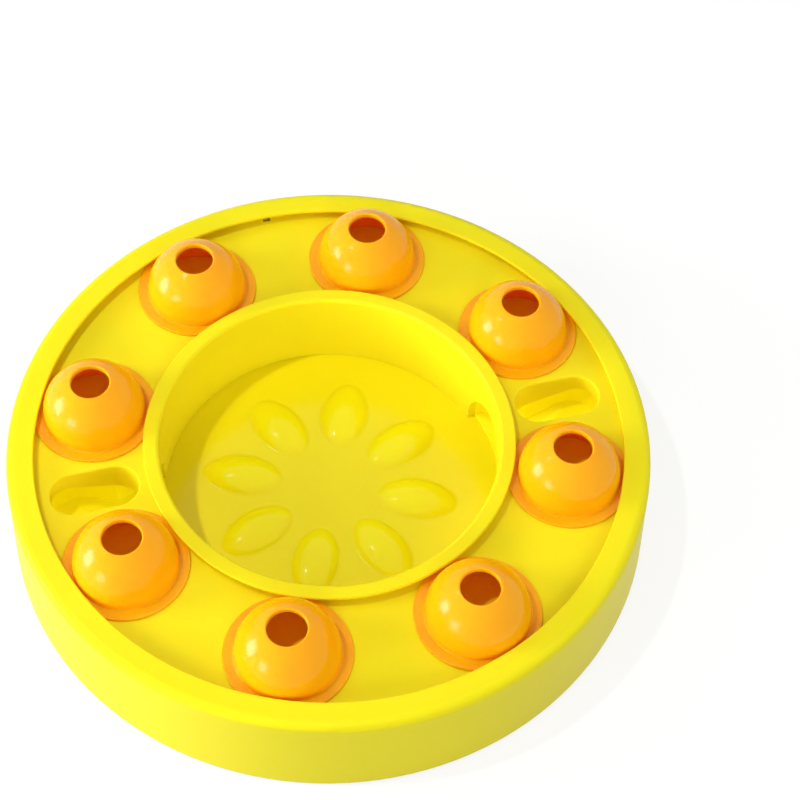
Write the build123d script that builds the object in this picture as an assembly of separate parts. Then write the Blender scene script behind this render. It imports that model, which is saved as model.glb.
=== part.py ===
"""Sliding-dome puzzle feeder for dogs.

Millimetres, +Z up, origin at the centre of the circle that the feet stand on.
Angles are counted anticlockwise from +X, seen from above. Eight bottomless domed cups slide round
a ring-shaped deck. The shell's rim and the bowl collar's flange hold their brims down. A cup that
is pushed over one of the two slots drops its food through a chute into the central bowl.
"""

from build123d import *

import os
from math import sqrt

# Outer shell
SHELL_HEIGHT = 41.6  # bottom edge to the top of the rim
SHELL_DRAFT = 1.7  # how far the outer wall leans in over its height
SHELL_WALL = 2.5
RIM_WIDTH = 12.0  # from the rim's inner edge out to the shell's bottom edge
RIM_OVERLAP = 3.2  # how far the rim reaches over the cups' brims
RIM_OUTER_ROUND = 3.2
LIP_THICKNESS = 1.1  # of the rim and of the collar's flange
LIP_ROUND = 0.5  # top edge of both, next to the deck
HOOP_WALL = 1.5  # guide for the brims, under the rim

# Deck that the cups slide on
DECK_DEPTH = 5.2  # rim top down to the deck
DECK_THICKNESS = 2.5
DRAIN_ANGLE = 103.0
DRAIN_WIDTH = 3.0
DRAIN_LENGTH = 2.4  # from the hoop inward

# Bowl
BOWL_RADIUS = 65.5  # inside of the bowl collar
COLLAR_WALL = 2.5
COLLAR_FLANGE = 3.5  # how far the flange stands out past the collar's wall
COLLAR_ROUND = 1.4  # top edge next to the bowl
WINDOW_WIDTH = 40.0
WINDOW_SPRING = 4.0  # from the bowl's floor up to where the window's arch starts
BOWL_FLOOR_HEIGHT = 5.3  # above the shell's bottom edge
FLOOR_THICKNESS = 2.5
BUMP_INNER_RADIUS = 19.2  # circle through the bumps' inner tips
BUMP_WALL_GAP = 14.7  # from a bump's outer tip to the bowl's wall
BUMP_WIDTH = 18.5
BUMP_HEIGHT = 4.4
BUMP_FOOT_ROUND = 1.5

# Cups
CUP_COUNT = 8
FIRST_CUP_ANGLE = 80.4
CUP_RADIUS = 19.6
CUP_CENTRE_HEIGHT = 2.0  # centre of the dome's sphere above the deck
CUP_WALL = 2.0
CUP_HOLE_RADIUS = 7.35
CUP_HOLE_ROUND = 0.5
CUP_FOOT_ROUND = 0.6
BRIM_WIDTH = 4.1
BRIM_THICKNESS = 1.1
BRIM_ROUND = 0.3

# Drop slots and chutes
SLOT_ANGLES = (13.0, 193.0)
SLOT_INSET = 1.0  # how far the slot's middle lies inside the cups' circle
SLOT_LENGTH = 33.8
SLOT_WIDTH = 17.6
SLOT_EDGE_ROUND = 0.8
CURTAIN_WALL = 1.6  # wall that hangs from the deck round a slot
CURTAIN_OUTER_DEPTH = 6.2  # below the deck's top, at the slot's outer end
CURTAIN_INNER_DEPTH = 15.8  # and at its inner end
CHUTE_WALL = 1.6
CHUTE_FLOOR = 1.5  # floor thickness, measured upright
CHUTE_RISE = 10.2  # height of the ramp
CHUTE_LANDING = 11.4  # level run at the outer end
CHUTE_FOOT = 11.5  # level run next to the bowl's collar
CHUTE_ROUND = 8.0  # where the ramp meets its landing and its foot
CHUTE_RIB_SPACING = 12.0

# Base tray
POST_RADIUS = 3.5
SKIRT_WALL = 2.0
SKIRT_RIB_COUNT = 12
SKIRT_RIB_WALL = 1.6
SKIRT_RIB_RISE = 0.8  # how far the ribs stay above the skirt's edge
FOOT_COUNT = 6
FOOT_INSET = 20.0  # from the shell's bottom edge in to a foot's middle
FOOT_RADIUS = 8.0
FOOT_SINK = 1.2  # how deep a foot sits in its pocket
FOOT_STAND = 1.0  # how far a foot stands out below the shell's edge
FOOT_ROUND = 0.5
BOSS_WALL = 1.5

# Screws
SHELL_SCREW_COUNT = 6
SHELL_PILLAR_RADIUS = 4.2
CUPS_PER_COLLAR_SCREW = 2
COLLAR_LUG_RADIUS = 2.7
COLLAR_LUG_HEIGHT = 18.0
SCREW_RADIUS = 1.25
SCREW_LENGTH = 12.0
SCREW_HEAD_RADIUS = 2.6
SCREW_HEAD_HEIGHT = 1.6
SCREW_RECESS_LENGTH = 2.6
SCREW_RECESS_WIDTH = 0.6
SCREW_RECESS_DEPTH = 0.8

# Clearances
SLIDE_CLEARANCE = 0.1  # below a brim
TRACK_CLEARANCE = 0.8  # between a brim and the walls beside it
FIT = 0.3  # between pieces that drop into each other
SCREW_CLEARANCE = 0.05
MARGIN = 1.0  # how far a cutting tool runs past a face

# Heights worked out from the driving dimensions
SHELL_BOTTOM = FOOT_STAND
RIM_TOP = SHELL_BOTTOM + SHELL_HEIGHT
LIP_BOTTOM = RIM_TOP - LIP_THICKNESS
DECK_TOP = RIM_TOP - DECK_DEPTH
DECK_BOTTOM = DECK_TOP - DECK_THICKNESS
CUP_BOTTOM = DECK_TOP + SLIDE_CLEARANCE
BRIM_TOP = CUP_BOTTOM + BRIM_THICKNESS
CUP_CENTRE = DECK_TOP + CUP_CENTRE_HEIGHT
FLOOR_TOP = SHELL_BOTTOM + BOWL_FLOOR_HEIGHT
FLOOR_BOTTOM = FLOOR_TOP - FLOOR_THICKNESS
SCREW_SEAT = SHELL_BOTTOM + SCREW_HEAD_HEIGHT + FIT

# Radii worked out from the driving dimensions, from the bowl outward
COLLAR_OUTER_RADIUS = BOWL_RADIUS + COLLAR_WALL
FLANGE_RADIUS = COLLAR_OUTER_RADIUS + COLLAR_FLANGE
BRIM_RADIUS = CUP_RADIUS + BRIM_WIDTH
CUP_RING_RADIUS = COLLAR_OUTER_RADIUS + TRACK_CLEARANCE + BRIM_RADIUS
HOOP_INNER_RADIUS = CUP_RING_RADIUS + BRIM_RADIUS + TRACK_CLEARANCE
HOOP_OUTER_RADIUS = HOOP_INNER_RADIUS + HOOP_WALL
RIM_INNER_RADIUS = CUP_RING_RADIUS + BRIM_RADIUS - RIM_OVERLAP
OUTER_RADIUS = RIM_INNER_RADIUS + RIM_WIDTH
FOOT_RING_RADIUS = OUTER_RADIUS - FOOT_INSET
BUMP_LENGTH = BOWL_RADIUS - BUMP_WALL_GAP - BUMP_INNER_RADIUS
BUMP_RING_RADIUS = BUMP_INNER_RADIUS + BUMP_LENGTH / 2
SLOT_MIDDLE_RADIUS = CUP_RING_RADIUS - SLOT_INSET
SLOT_OUTER_END = SLOT_MIDDLE_RADIUS + SLOT_LENGTH / 2
CHUTE_MARGIN = CURTAIN_WALL + FIT  # from the slot's edge out to the chute's inside


def outer_wall_radius(height):
    """Outer radius of the drafted shell wall at a height."""
    return OUTER_RADIUS - SHELL_DRAFT * (height - SHELL_BOTTOM) / SHELL_HEIGHT


DECK_RADIUS = outer_wall_radius(DECK_TOP) - SHELL_WALL - FIT
TRAY_RADIUS = outer_wall_radius(FLOOR_TOP) - SHELL_WALL - FIT
SHELL_SCREW_RING_RADIUS = TRAY_RADIUS - SHELL_PILLAR_RADIUS - BOSS_WALL
COLLAR_SCREW_RING_RADIUS = COLLAR_OUTER_RADIUS + FIT / 2
SCREW_BOSS_RADIUS = SCREW_HEAD_RADIUS + FIT + BOSS_WALL

# Angles worked out from the driving dimensions
CUP_ANGLES = [FIRST_CUP_ANGLE - 360.0 / CUP_COUNT * step for step in range(CUP_COUNT)]
FOOT_ANGLES = [SLOT_ANGLES[0] + 360.0 / FOOT_COUNT * step for step in range(FOOT_COUNT)]
SHELL_SCREW_ANGLES = [
    SLOT_ANGLES[0] + 360.0 / SHELL_SCREW_COUNT * (step + 0.5) for step in range(SHELL_SCREW_COUNT)
]
COLLAR_SCREW_ANGLES = CUP_ANGLES[1::CUPS_PER_COLLAR_SCREW]


def polar(radius, angle):
    """Location at a radius and angle, with its X axis pointing outward."""
    return Rot(0, 0, angle) * Pos(radius, 0, 0)


def shell_screw_places():
    """Locations of the screws that join the tray to the shell."""
    return [polar(SHELL_SCREW_RING_RADIUS, angle) for angle in SHELL_SCREW_ANGLES]


def collar_screw_places():
    """Locations of the screws that join the tray to the bowl's collar."""
    return [polar(COLLAR_SCREW_RING_RADIUS, angle) for angle in COLLAR_SCREW_ANGLES]


def disc(radius, low, high):
    """Upright cylinder between two heights."""
    return Pos(0, 0, low) * extrude(Circle(radius), high - low)


def ring(inner_radius, outer_radius, low, high):
    """Plain ring between two radii and two heights."""
    return Pos(0, 0, low) * extrude(Circle(outer_radius) - Circle(inner_radius), high - low)


def turned(outline):
    """Solid of revolution about Z of a closed outline drawn as (radius, height)."""
    return revolve(make_face(Plane.XZ * outline), axis=Axis.Z)


def circles_at(solid, height):
    """Circular edges of a solid at a height, smallest radius first."""
    near = 0.01
    edges = solid.edges().filter_by(GeomType.CIRCLE)
    return edges.filter_by_position(Axis.Z, height - near, height + near).sort_by(SortBy.RADIUS)


def level_face(solid, height):
    """The flat face of a solid at a height."""
    near = 0.01
    flat = [face for face in solid.faces() if face.bounding_box().size.Z < near]
    return [face for face in flat if abs(face.center().Z - height) < near][0]


def screw_bore(length):
    """Pilot hole for a screw, from the bowl floor's level upward."""
    return disc(SCREW_RADIUS + SCREW_CLEARANCE, FLOOR_TOP - MARGIN, FLOOR_TOP + length)


def outer_shell():
    """Outer wall with the rim, the hoop that guides the brims and the screw pillars."""
    body = turned(Polyline(
        (OUTER_RADIUS, SHELL_BOTTOM),
        (outer_wall_radius(RIM_TOP), RIM_TOP),
        (RIM_INNER_RADIUS, RIM_TOP),
        (RIM_INNER_RADIUS, LIP_BOTTOM),
        (HOOP_INNER_RADIUS, LIP_BOTTOM),
        (HOOP_INNER_RADIUS, DECK_TOP),
        (HOOP_OUTER_RADIUS, DECK_TOP),
        (HOOP_OUTER_RADIUS, LIP_BOTTOM),
        (outer_wall_radius(LIP_BOTTOM) - SHELL_WALL, LIP_BOTTOM),
        (OUTER_RADIUS - SHELL_WALL, SHELL_BOTTOM),
        close=True,
    ))
    body = fillet(circles_at(body, RIM_TOP)[-1], RIM_OUTER_ROUND)
    body = fillet(circles_at(body, RIM_TOP)[0], LIP_ROUND)
    wall_middle = turned(Polyline(
        (0, SHELL_BOTTOM),
        (OUTER_RADIUS - SHELL_WALL / 2, SHELL_BOTTOM),
        (outer_wall_radius(RIM_TOP) - SHELL_WALL / 2, RIM_TOP),
        (0, RIM_TOP),
        close=True,
    ))
    pillar_top = DECK_BOTTOM - FIT
    web_length = OUTER_RADIUS - SHELL_SCREW_RING_RADIUS
    web = Box(
        web_length, SHELL_PILLAR_RADIUS, pillar_top - FLOOR_TOP,
        align=(Align.MIN, Align.CENTER, Align.MIN),
    )
    pillar = disc(SHELL_PILLAR_RADIUS, FLOOR_TOP, pillar_top) + Pos(0, 0, FLOOR_TOP) * web
    for place in shell_screw_places():
        body += place * pillar & wall_middle
        body -= place * screw_bore(SCREW_LENGTH)
    return body


def slot_curtain():
    """Wall that hangs from the deck round a drop slot; its lower edge slopes down inward."""
    low = DECK_TOP - CURTAIN_INNER_DEPTH
    outline = SlotOverall(SLOT_LENGTH + 2 * CURTAIN_WALL, SLOT_WIDTH + 2 * CURTAIN_WALL)
    outline -= SlotOverall(SLOT_LENGTH, SLOT_WIDTH)
    wall = Pos(0, 0, low) * extrude(outline, DECK_BOTTOM - low)
    reach = SLOT_LENGTH / 2 + CURTAIN_WALL
    below = make_face(Plane.XZ * Polyline(
        (-reach, low),
        (reach, low),
        (reach, DECK_TOP - CURTAIN_OUTER_DEPTH),
        close=True,
    ))
    return wall - extrude(below, SLOT_WIDTH, both=True)


def track_plate():
    """Ring-shaped deck with two drop slots, a drain hole and notches that let the collar's lugs pass."""
    plate = ring(COLLAR_OUTER_RADIUS + FIT, DECK_RADIUS, DECK_BOTTOM, DECK_TOP)
    slot = Pos(0, 0, DECK_BOTTOM) * extrude(SlotOverall(SLOT_LENGTH, SLOT_WIDTH), DECK_THICKNESS)
    for angle in SLOT_ANGLES:
        plate -= polar(SLOT_MIDDLE_RADIUS, angle) * slot
    slot_rims = [wire for wire in level_face(plate, DECK_TOP).inner_wires() if len(wire.edges()) > 1]
    plate = fillet([edge for wire in slot_rims for edge in wire.edges()], SLOT_EDGE_ROUND)
    for angle in SLOT_ANGLES:
        plate += polar(SLOT_MIDDLE_RADIUS, angle) * slot_curtain()
    notch = disc(COLLAR_LUG_RADIUS + FIT, DECK_BOTTOM - MARGIN, DECK_TOP + MARGIN)
    for place in collar_screw_places():
        plate -= place * notch
    drain = Box(
        DRAIN_LENGTH, DRAIN_WIDTH, DECK_THICKNESS + MARGIN,
        align=(Align.MAX, Align.CENTER, Align.MIN),
    )
    return plate - polar(HOOP_INNER_RADIUS, DRAIN_ANGLE) * Pos(0, 0, DECK_BOTTOM - MARGIN / 2) * drain


def window_cutter():
    """Arch-topped cutter through the collar's wall, along X, standing on the bowl floor."""
    opening = Pos(0, WINDOW_SPRING / 2) * Rectangle(WINDOW_WIDTH, WINDOW_SPRING)
    opening += Pos(0, WINDOW_SPRING) * Circle(WINDOW_WIDTH / 2)
    upright = Plane(origin=(0, 0, FLOOR_TOP), x_dir=(0, 1, 0), z_dir=(1, 0, 0))
    return extrude(upright * opening, FLANGE_RADIUS)


def bowl_collar():
    """Wall of the bowl with its top flange, two arched windows and the screw lugs."""
    body = turned(Polyline(
        (BOWL_RADIUS, FLOOR_TOP),
        (BOWL_RADIUS, RIM_TOP),
        (FLANGE_RADIUS, RIM_TOP),
        (FLANGE_RADIUS, LIP_BOTTOM),
        (COLLAR_OUTER_RADIUS, LIP_BOTTOM),
        (COLLAR_OUTER_RADIUS, FLOOR_TOP),
        close=True,
    ))
    body = fillet(circles_at(body, RIM_TOP)[-1], LIP_ROUND)
    body = fillet(circles_at(body, RIM_TOP)[0], COLLAR_ROUND)
    lug = disc(COLLAR_LUG_RADIUS, FLOOR_TOP, FLOOR_TOP + COLLAR_LUG_HEIGHT)
    bowl_space = disc(BOWL_RADIUS, SHELL_BOTTOM, RIM_TOP)
    for place in collar_screw_places():
        body += place * lug - bowl_space
        body -= place * screw_bore(SCREW_LENGTH)
    for angle in SLOT_ANGLES:
        body -= Rot(0, 0, angle) * window_cutter()
    return body


def chute_side(drop, top):
    """Face in the XZ plane from the chute's floor line, lowered by a drop, up to a height."""
    outer_end = SLOT_OUTER_END + CHUTE_MARGIN + CHUTE_WALL + MARGIN
    inner_end = COLLAR_OUTER_RADIUS - WINDOW_WIDTH / 2
    foot = FLOOR_TOP + CHUTE_FLOOR - drop
    landing = foot + CHUTE_RISE
    floor_line = FilletPolyline(
        (outer_end, landing),
        (SLOT_OUTER_END - CHUTE_LANDING, landing),
        (COLLAR_OUTER_RADIUS + CHUTE_FOOT, foot),
        (inner_end, foot),
        radius=CHUTE_ROUND,
    )
    sides = Polyline((inner_end, foot), (inner_end, top), (outer_end, top), (outer_end, landing))
    return make_face(Plane.XZ * (floor_line + sides))


def chute_plan(grow):
    """Outline of the chute seen from above: the slot's shape, spreading towards the window."""
    half_width = SLOT_WIDTH / 2 + CHUTE_MARGIN + grow
    inner_end = COLLAR_OUTER_RADIUS - WINDOW_WIDTH / 2
    flare_start = SLOT_MIDDLE_RADIUS - SLOT_LENGTH / 2 + SLOT_WIDTH / 2
    mouth = WINDOW_WIDTH / 2 + grow
    middle = SLOT_OUTER_END + CHUTE_MARGIN + grow - half_width
    spread = make_face(Polyline(
        (inner_end, -mouth),
        (COLLAR_OUTER_RADIUS, -mouth),
        (flare_start, -half_width),
        (middle, -half_width),
        (middle, half_width),
        (flare_start, half_width),
        (COLLAR_OUTER_RADIUS, mouth),
        (inner_end, mouth),
        close=True,
    ))
    return spread + Pos(middle, 0) * Circle(half_width)


def feed_chute():
    """Ramp from a drop slot down to a window of the bowl, on two ribs, before it is turned."""
    reach = WINDOW_WIDTH
    block = extrude(chute_side(CHUTE_FLOOR, DECK_BOTTOM), reach, both=True)
    block &= extrude(chute_plan(CHUTE_WALL), RIM_TOP)
    space = extrude(chute_side(0, DECK_TOP), reach, both=True) & extrude(chute_plan(0), RIM_TOP)
    body = block - space
    rib_low = COLLAR_OUTER_RADIUS + CHUTE_FOOT
    rib_side = make_face(Plane.XZ * Polyline(
        (rib_low, FLOOR_TOP),
        (SLOT_OUTER_END, FLOOR_TOP),
        (SLOT_OUTER_END, DECK_BOTTOM),
        (rib_low, DECK_BOTTOM),
        close=True,
    ))
    rib = extrude(rib_side, CHUTE_WALL / 2, both=True)
    rib -= extrude(chute_side(CHUTE_FLOOR, DECK_TOP), reach, both=True)
    for side in (-1, 1):
        body += Pos(0, side * CHUTE_RIB_SPACING / 2, 0) * rib
    return body - disc(COLLAR_OUTER_RADIUS + FIT, SHELL_BOTTOM, RIM_TOP)


def floor_bump():
    """Almond-shaped bump at the origin, long along X, standing on the plane Z = 0."""
    sink = ((BUMP_WIDTH / 2) ** 2 - BUMP_HEIGHT ** 2) / (2 * BUMP_HEIGHT)
    arc_radius = ((BUMP_LENGTH / 2) ** 2 + BUMP_HEIGHT ** 2) / (2 * BUMP_HEIGHT)
    waist = sink + BUMP_HEIGHT
    tip = sqrt(arc_radius ** 2 - (arc_radius - waist) ** 2)
    arc = ThreePointArc((-tip, 0), (0, waist), (tip, 0))
    spindle = revolve(make_face(Plane.XZ * (arc + Line((tip, 0), (-tip, 0)))), axis=Axis.X)
    return Pos(0, 0, -sink) * spindle


def base_tray():
    """Bottom with the bowl's floor and bumps, deck posts, skirts, foot pockets and screw seats."""
    body = disc(TRAY_RADIUS, FLOOR_BOTTOM, FLOOR_TOP)
    above_floor = disc(BOWL_RADIUS, FLOOR_TOP - MARGIN, RIM_TOP)
    for angle in CUP_ANGLES:
        body += polar(BUMP_RING_RADIUS, angle) * Pos(0, 0, FLOOR_TOP) * floor_bump() & above_floor
    body = fillet(level_face(body, FLOOR_TOP).inner_wires().edges(), BUMP_FOOT_ROUND)
    body += ring(TRAY_RADIUS - SKIRT_WALL, TRAY_RADIUS, SHELL_BOTTOM, FLOOR_BOTTOM)
    body += ring(BOWL_RADIUS - SKIRT_WALL, BOWL_RADIUS, SHELL_BOTTOM, FLOOR_BOTTOM)
    rib = Pos(BOWL_RADIUS - SKIRT_WALL / 2, 0, SHELL_BOTTOM + SKIRT_RIB_RISE) * Box(
        TRAY_RADIUS - BOWL_RADIUS, SKIRT_RIB_WALL, FLOOR_BOTTOM - SHELL_BOTTOM - SKIRT_RIB_RISE,
        align=(Align.MIN, Align.CENTER, Align.MIN),
    )
    for step in range(SKIRT_RIB_COUNT):
        body += Rot(0, 0, SLOT_ANGLES[0] + 360.0 / SKIRT_RIB_COUNT * step) * rib
    post = disc(POST_RADIUS, FLOOR_TOP, DECK_BOTTOM)
    for angle in CUP_ANGLES:
        body += polar(CUP_RING_RADIUS, angle) * post
    foot_boss = disc(FOOT_RADIUS + BOSS_WALL, SHELL_BOTTOM, FLOOR_BOTTOM)
    foot_pocket = disc(FOOT_RADIUS + SCREW_CLEARANCE, SHELL_BOTTOM, SHELL_BOTTOM + FOOT_SINK)
    for angle in FOOT_ANGLES:
        body += polar(FOOT_RING_RADIUS, angle) * foot_boss
        body -= polar(FOOT_RING_RADIUS, angle) * foot_pocket
    screw_boss = disc(SCREW_BOSS_RADIUS, SHELL_BOTTOM, FLOOR_BOTTOM)
    screw_seat = disc(SCREW_HEAD_RADIUS + FIT, SHELL_BOTTOM, SCREW_SEAT)
    screw_seat += disc(SCREW_RADIUS + FIT, SHELL_BOTTOM, FLOOR_TOP)
    for place in shell_screw_places() + collar_screw_places():
        body += place * screw_boss & disc(TRAY_RADIUS, SHELL_BOTTOM, FLOOR_TOP)
        body -= place * screw_seat
    return body


def screw():
    """Pan-head screw pointing up, with a cross recess in its head."""
    head_bottom = SCREW_SEAT - SCREW_HEAD_HEIGHT
    body = disc(SCREW_HEAD_RADIUS, head_bottom, SCREW_SEAT)
    body = fillet(circles_at(body, head_bottom), SCREW_HEAD_HEIGHT / 2)
    body += disc(SCREW_RADIUS, SCREW_SEAT, SCREW_SEAT + SCREW_LENGTH)
    body = chamfer(circles_at(body, SCREW_SEAT + SCREW_LENGTH), SCREW_RADIUS / 2)
    for turn in (0, 90):
        recess = Box(SCREW_RECESS_LENGTH, SCREW_RECESS_WIDTH, 2 * SCREW_RECESS_DEPTH)
        body -= Rot(0, 0, turn) * Pos(0, 0, head_bottom) * recess
    return body


def foot():
    """Anti-slip pad."""
    pad = disc(FOOT_RADIUS, 0, FOOT_STAND + FOOT_SINK)
    return fillet(circles_at(pad, 0), FOOT_ROUND)


def dome():
    """Bottomless domed cup with a fill hole on top and a flat round brim, on the Z axis."""
    inner_radius = CUP_RADIUS - CUP_WALL
    hole_top = CUP_CENTRE + sqrt(CUP_RADIUS ** 2 - CUP_HOLE_RADIUS ** 2)
    hole_bottom = CUP_CENTRE + sqrt(inner_radius ** 2 - CUP_HOLE_RADIUS ** 2)
    half = sqrt(0.5)
    outline = Polyline(
        (inner_radius, CUP_CENTRE),
        (inner_radius, CUP_BOTTOM),
        (BRIM_RADIUS, CUP_BOTTOM),
        (BRIM_RADIUS, BRIM_TOP),
        (CUP_RADIUS, BRIM_TOP),
        (CUP_RADIUS, CUP_CENTRE),
    )
    outline += ThreePointArc(
        (CUP_RADIUS, CUP_CENTRE),
        (CUP_RADIUS * half, CUP_CENTRE + CUP_RADIUS * half),
        (CUP_HOLE_RADIUS, hole_top),
    )
    outline += Line((CUP_HOLE_RADIUS, hole_top), (CUP_HOLE_RADIUS, hole_bottom))
    outline += ThreePointArc(
        (CUP_HOLE_RADIUS, hole_bottom),
        (inner_radius * half, CUP_CENTRE + inner_radius * half),
        (inner_radius, CUP_CENTRE),
    )
    body = turned(outline)
    body = fillet(circles_at(body, hole_top), CUP_HOLE_ROUND)
    body = fillet(circles_at(body, BRIM_TOP)[0], CUP_FOOT_ROUND)
    return fillet(circles_at(body, BRIM_TOP)[-1], BRIM_ROUND)


def all_parts():
    """Every node's name with its solid or group of solids."""
    parts = {
        "outer_shell": outer_shell(),
        "track_plate": track_plate(),
        "bowl_collar": bowl_collar(),
        "base_tray": base_tray(),
    }
    chute = feed_chute()
    for number, angle in enumerate(SLOT_ANGLES, start=1):
        parts[f"feed_chute_{number}"] = Rot(0, 0, angle) * chute
    cup = dome()
    for letter, angle in zip("abcdefgh", CUP_ANGLES):
        parts[f"dome_{letter}"] = polar(CUP_RING_RADIUS, angle) * cup
    pad = foot()
    for number, angle in enumerate(FOOT_ANGLES, start=1):
        parts[f"foot_{number}"] = polar(FOOT_RING_RADIUS, angle) * pad
    fastener = screw()
    parts["shell_screws"] = Compound([place * fastener for place in shell_screw_places()])
    parts["collar_screws"] = Compound([place * fastener for place in collar_screw_places()])
    return parts


os.makedirs("parts", exist_ok=True)
for name, part in all_parts().items():
    export_step(part, f"parts/{name}.step")
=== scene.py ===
"""Looks of the sliding-dome puzzle feeder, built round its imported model. Metres, +Z up."""

import math

import bpy
from mathutils import Euler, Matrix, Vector

# Camera: how far it stands behind and above the centre of the fill holes' plane, and how it is turned
HOLE_PLANE = 0.0575
CAMERA_BACK = 0.4348
CAMERA_RISE = 0.6277
CAMERA_TURN = (0.38, -1.99, -0.27)  # degrees about the camera's own X, Y and Z
LENS = 90.95  # millimetres, as the sensor's width is
SENSOR = 36.0
NEAREST = 0.01
FARTHEST = 20.0

# Lamps that show as highlights. The azimuth is counted from +X, and the angles are in degrees. The light is
# what falls on a surface at the feeder that faces the lamp
BOXES = {
    "left_box": dict(azimuth=-179.0, elevation=10.0, distance=1.5, width=0.56, height=0.72, light=0.72),
    "front_box": dict(azimuth=-138.5, elevation=12.0, distance=1.5, width=0.42, height=0.42, light=0.22),
    "glint_lamp": dict(azimuth=172.0, elevation=59.6, distance=0.33, width=0.012, height=0.012, light=0.06),
}

# Lamps in the same terms that leave no highlight. The key lamp casts the crisp shadow into the bowl
FILLS = {
    "key_lamp": dict(azimuth=-176.0, elevation=68.6, distance=1.5, width=0.05, height=0.05, light=0.25),
    "front_fill": dict(azimuth=-90.0, elevation=25.0, distance=1.5, width=0.50, height=0.50, light=0.25),
    "left_fill": dict(azimuth=180.0, elevation=24.0, distance=1.5, width=0.50, height=0.50, light=0.20),
    "right_fill": dict(azimuth=-12.0, elevation=32.0, distance=0.6, width=0.36, height=0.36, light=0.17),
}

WORLD_GREY = (0.40, 0.40, 0.40)

# Colours, linear
YELLOW = (0.93, 0.80, 0.012)
FLOOR_YELLOW = (0.92, 0.79, 0.006)
# Painted light: a lighter yellow painted on the bump tops, where they catch the light
BUMP_TOP_PAINTED_LIGHT = (0.95, 0.84, 0.004)
ORANGE = (0.99, 0.46, 0.003)
RUBBER = (0.45, 0.43, 0.36)
STEEL = (0.55, 0.55, 0.56)
WHITE = (0.25, 0.25, 0.25)
WHITE_LIFT = 0.78  # what the floor adds of its own to what the camera sees
FLOOR_SIZE = 8.0

# Plastics: roughness, mirror strength, share of the light that sinks in, and how far red, green and blue go
YELLOW_SKIN = {"roughness": 0.38, "specular": 0.12, "weight": 0.35, "spread": (0.0020, 0.0011, 0.0001)}
FLOOR_SKIN = {"roughness": 0.16, "specular": 0.25, "weight": 0.35, "spread": (0.0020, 0.0011, 0.0001)}
ORANGE_SKIN = {"roughness": 0.18, "specular": 0.21, "weight": 0.7, "spread": (0.0030, 0.0008, 0.0001)}

# Heights between which the floor's colour turns into the lighter colour painted on the bump tops as painted
# light
FLOOR_TOP = 0.0064
BUMP_SIDE = 0.0085

# Painted light: emission that stands in for light seeping through thin walls, which shows inside the domes
# and in the chutes
DOME_PAINTED_GLOW = (0.08, 0.0, 0.0)
CHUTE_PAINTED_GLOW = (0.17, 0.15, 0.0)
NO_GLOW = (0.0, 0.0, 0.0)

# The plastics' surface: how far brightness and gloss wander and how finely, and the grain on top
TONE = 0.02
GLOSS_WANDER = 0.12
FLOW_SCALE = 22.0
GRAIN_SCALE = 1400.0
GRAIN_HEIGHT = 0.00005
PLASTIC_GRAIN = 0.12
SHINY_GRAIN = 0.08

# Sockets of the colour Mix node, which share their names with its number sockets
MIX_SHARE = 0
MIX_FIRST = 6
MIX_SECOND = 7
MIX_COLOUR = 2


class Nodes:
    """Builds one material's node tree."""

    def __init__(self, name):
        self.material = bpy.data.materials.new(name)
        self.material.use_nodes = True
        self.tree = self.material.node_tree
        self.shader = self.tree.nodes["Principled BSDF"]

    def add(self, kind, **values):
        """New node; values name its properties or its inputs, with _ for a blank."""
        node = self.tree.nodes.new(kind)
        for name, value in values.items():
            if hasattr(node, name):
                setattr(node, name, value)
            else:
                node.inputs[name.replace("_", " ")].default_value = value
        return node

    def link(self, source, target):
        """Leads one node's output into another's input."""
        self.tree.links.new(source, target)


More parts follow.
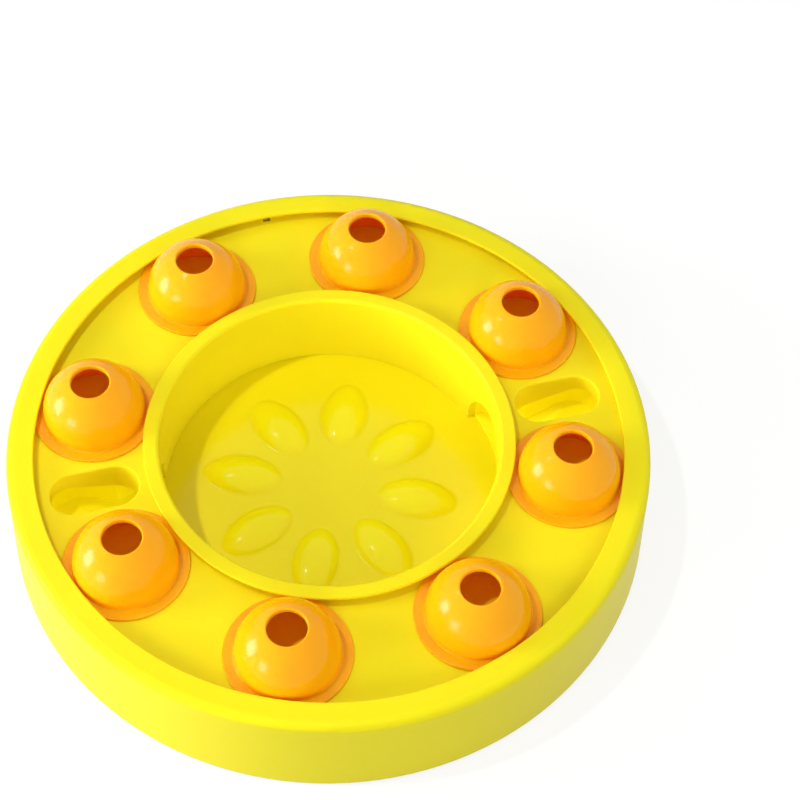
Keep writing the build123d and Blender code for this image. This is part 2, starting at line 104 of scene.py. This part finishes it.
def moulded_plastic(name, colour, skin, grain, painted_glow=NO_GLOW, painted_top_light=None):
    """Injection-moulded plastic, in which light sinks a little way and tone, gloss and grain vary slightly.

    Above the bowl's floor the colour turns into a lighter one, which is painted light on the bump tops. The
    emission colour is painted light that stands in for light seeping through thin walls.
    """
    nodes = Nodes(name)
    place = nodes.add("ShaderNodeTexCoord").outputs["Object"]
    flow = nodes.add("ShaderNodeTexNoise", Scale=FLOW_SCALE, Detail=2.0)
    nodes.link(place, flow.inputs["Vector"])
    tint = nodes.add("ShaderNodeMapRange", To_Min=1.0 - TONE, To_Max=1.0 + TONE)
    nodes.link(flow.outputs["Fac"], tint.inputs["Value"])
    shade = nodes.add("ShaderNodeHueSaturation", Color=(*colour, 1.0))
    nodes.link(tint.outputs["Result"], shade.inputs["Value"])
    # Painted light: above the floor the colour turns lighter, so the bump tops look lit
    if painted_top_light:
        height = nodes.add("ShaderNodeSeparateXYZ")
        nodes.link(place, height.inputs["Vector"])
        painted_light_climb = nodes.add("ShaderNodeMapRange", From_Min=FLOOR_TOP, From_Max=BUMP_SIDE)
        nodes.link(height.outputs["Z"], painted_light_climb.inputs["Value"])
        painted_light_blend = nodes.add("ShaderNodeMix", data_type="RGBA")
        nodes.link(painted_light_climb.outputs["Result"], painted_light_blend.inputs[MIX_SHARE])
        painted_light_blend.inputs[MIX_FIRST].default_value = (*colour, 1.0)
        painted_light_blend.inputs[MIX_SECOND].default_value = (*painted_top_light, 1.0)
        nodes.link(painted_light_blend.outputs[MIX_COLOUR], shade.inputs["Color"])
    nodes.link(shade.outputs["Color"], nodes.shader.inputs["Base Color"])
    smoothest = skin["roughness"] * (1.0 - GLOSS_WANDER)
    roughest = skin["roughness"] * (1.0 + GLOSS_WANDER)
    gloss = nodes.add("ShaderNodeMapRange", To_Min=smoothest, To_Max=roughest)
    nodes.link(flow.outputs["Fac"], gloss.inputs["Value"])
    nodes.link(gloss.outputs["Result"], nodes.shader.inputs["Roughness"])
    fine = nodes.add("ShaderNodeTexNoise", Scale=GRAIN_SCALE, Detail=3.0)
    nodes.link(place, fine.inputs["Vector"])
    bump = nodes.add("ShaderNodeBump", Strength=grain, Distance=GRAIN_HEIGHT)
    nodes.link(fine.outputs["Fac"], bump.inputs["Height"])
    nodes.link(bump.outputs["Normal"], nodes.shader.inputs["Normal"])
    nodes.shader.inputs["Specular IOR Level"].default_value = skin["specular"]
    nodes.shader.inputs["Subsurface Weight"].default_value = skin["weight"]
    nodes.shader.inputs["Subsurface Radius"].default_value = skin["spread"]
    nodes.shader.inputs["Subsurface Scale"].default_value = 1.0
    # Painted light: the emission stands in for light seeping through thin walls
    nodes.shader.inputs["Emission Color"].default_value = (*painted_glow, 1.0)
    nodes.shader.inputs["Emission Strength"].default_value = 1.0
    return nodes.material


def soft_rubber():
    """Matt rubber with a pebbled skin."""
    nodes = Nodes("soft_rubber")
    place = nodes.add("ShaderNodeTexCoord").outputs["Object"]
    pebble = nodes.add("ShaderNodeTexVoronoi", Scale=1800.0)
    nodes.link(place, pebble.inputs["Vector"])
    bump = nodes.add("ShaderNodeBump", Strength=0.35, Distance=0.0001)
    nodes.link(pebble.outputs["Distance"], bump.inputs["Height"])
    nodes.link(bump.outputs["Normal"], nodes.shader.inputs["Normal"])
    nodes.shader.inputs["Base Color"].default_value = (*RUBBER, 1.0)
    nodes.shader.inputs["Roughness"].default_value = 0.8
    return nodes.material


def plated_steel():
    """Zinc-plated screw steel with fine turning marks."""
    nodes = Nodes("plated_steel")
    place = nodes.add("ShaderNodeTexCoord").outputs["Object"]
    marks = nodes.add("ShaderNodeTexNoise", Scale=900.0, Detail=4.0)
    nodes.link(place, marks.inputs["Vector"])
    gloss = nodes.add("ShaderNodeMapRange", To_Min=0.22, To_Max=0.42)
    nodes.link(marks.outputs["Fac"], gloss.inputs["Value"])
    nodes.link(gloss.outputs["Result"], nodes.shader.inputs["Roughness"])
    nodes.shader.inputs["Base Color"].default_value = (*STEEL, 1.0)
    nodes.shader.inputs["Metallic"].default_value = 1.0
    return nodes.material


def seen_directly(tree):
    """Value that is 1 for camera, glossy and transmission rays, and 0 for the rays that light the object."""
    path = tree.nodes.new("ShaderNodeLightPath")
    total = path.outputs["Is Camera Ray"]
    for name in ("Is Glossy Ray", "Is Transmission Ray"):
        either = tree.nodes.new("ShaderNodeMath")
        either.operation = "MAXIMUM"
        tree.links.new(total, either.inputs[0])
        tree.links.new(path.outputs[name], either.inputs[1])
        total = either.outputs[0]
    return total


def white_world():
    """Plain studio light all round, which shows as white behind the object."""
    world = bpy.data.worlds.new("studio")
    world.use_nodes = True
    tree = world.node_tree
    tree.nodes.clear()
    light = tree.nodes.new("ShaderNodeBackground")
    light.inputs["Color"].default_value = (*WORLD_GREY, 1.0)
    shown = tree.nodes.new("ShaderNodeBackground")
    shown.inputs["Color"].default_value = (1.0, 1.0, 1.0, 1.0)
    mix = tree.nodes.new("ShaderNodeMixShader")
    out = tree.nodes.new("ShaderNodeOutputWorld")
    tree.links.new(seen_directly(tree), mix.inputs["Fac"])
    tree.links.new(light.outputs["Background"], mix.inputs[1])
    tree.links.new(shown.outputs["Background"], mix.inputs[2])
    tree.links.new(mix.outputs["Shader"], out.inputs["Surface"])
    bpy.context.scene.world = world


def white_floor():
    """Plain white floor that keeps a faint shadow."""
    nodes = Nodes("white_floor")
    shader = nodes.shader
    shader.inputs["Base Color"].default_value = (*WHITE, 1.0)
    shader.inputs["Roughness"].default_value = 0.9
    shader.inputs["Specular IOR Level"].default_value = 0.0
    shader.inputs["Emission Color"].default_value = (1.0, 1.0, 1.0, 1.0)
    lift = nodes.add("ShaderNodeMath", operation="MULTIPLY")
    lift.inputs[1].default_value = WHITE_LIFT
    nodes.link(seen_directly(nodes.tree), lift.inputs[0])
    nodes.link(lift.outputs[0], shader.inputs["Emission Strength"])
    bpy.ops.mesh.primitive_plane_add(size=FLOOR_SIZE)
    floor = bpy.context.object
    floor.name = "floor"
    floor.data.materials.append(nodes.material)


def area_lamp(name, azimuth, elevation, distance, width, height, light, shows):
    """Rectangular lamp that faces the feeder and gives this light on a surface there that faces it."""
    turn = math.radians(azimuth)
    rise = math.radians(elevation)
    away = Vector((math.cos(turn) * math.cos(rise), math.sin(turn) * math.cos(rise), math.sin(rise)))
    data = bpy.data.lights.new(name, "AREA")
    data.shape = "RECTANGLE"
    data.size = width
    data.size_y = height
    data.energy = light * (math.pi * distance) ** 2
    lamp = bpy.data.objects.new(name, data)
    lamp.location = away * distance
    lamp.rotation_euler = away.to_track_quat("Z", "Y").to_euler()
    lamp.visible_camera = False
    lamp.visible_glossy = shows
    bpy.context.scene.collection.objects.link(lamp)


def lamps():
    """All the lamps, shown and hidden from reflections."""
    for name, place in BOXES.items():
        area_lamp(name, **place, shows=True)
    for name, place in FILLS.items():
        area_lamp(name, **place, shows=False)


def camera():
    """Camera at the viewing angle of the reference view."""
    data = bpy.data.cameras.new("camera")
    data.lens = LENS
    data.sensor_width = SENSOR
    data.clip_start = NEAREST
    data.clip_end = FARTHEST
    eye = Vector((0.0, -CAMERA_BACK, CAMERA_RISE))
    turn = Euler([math.radians(angle) for angle in CAMERA_TURN], "ZYX")
    camera_object = bpy.data.objects.new("camera", data)
    camera_object.rotation_mode = "QUATERNION"
    camera_object.rotation_quaternion = (-eye).to_track_quat("-Z", "Y") @ turn.to_quaternion()
    camera_object.location = eye + Vector((0.0, 0.0, HOLE_PLANE))
    bpy.context.scene.collection.objects.link(camera_object)
    bpy.context.scene.camera = camera_object


def dress(frame):
    """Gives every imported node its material."""
    yellow = moulded_plastic("moulded_yellow", YELLOW, YELLOW_SKIN, PLASTIC_GRAIN)
    # The bowl floor carries painted light: its bump tops are painted lighter
    floor = moulded_plastic("moulded_floor", FLOOR_YELLOW, FLOOR_SKIN, SHINY_GRAIN, painted_top_light=BUMP_TOP_PAINTED_LIGHT)
    steel = plated_steel()
    finishes = {
        "base_tray": floor,
        # Painted light: the chutes' emission brightens them as if light seeped through their walls
        "feed_chute": moulded_plastic("moulded_chute_painted_glow", YELLOW, YELLOW_SKIN, PLASTIC_GRAIN, painted_glow=CHUTE_PAINTED_GLOW),
        # Painted light: the domes' red emission shows inside them as if light seeped through the orange
        # walls
        "dome": moulded_plastic("moulded_orange_painted_glow", ORANGE, ORANGE_SKIN, SHINY_GRAIN, painted_glow=DOME_PAINTED_GLOW),
        "foot": soft_rubber(),
        "shell_screws": steel,
        "collar_screws": steel,
    }
    for name, node in frame["nodes"].items():
        kind = next((start for start in finishes if name.startswith(start)), None)
        for slot in node.material_slots:
            slot.material = finishes.get(kind, yellow)


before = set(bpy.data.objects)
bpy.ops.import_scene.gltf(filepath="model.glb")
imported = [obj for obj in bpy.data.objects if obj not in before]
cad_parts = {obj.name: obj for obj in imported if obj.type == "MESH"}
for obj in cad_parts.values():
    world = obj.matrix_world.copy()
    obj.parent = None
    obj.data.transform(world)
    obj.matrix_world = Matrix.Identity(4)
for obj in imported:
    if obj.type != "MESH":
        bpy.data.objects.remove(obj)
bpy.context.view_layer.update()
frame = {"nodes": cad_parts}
scene = bpy.context.scene
scene.view_settings.view_transform = "Standard"
camera()
white_world()
white_floor()
lamps()
dress(frame)
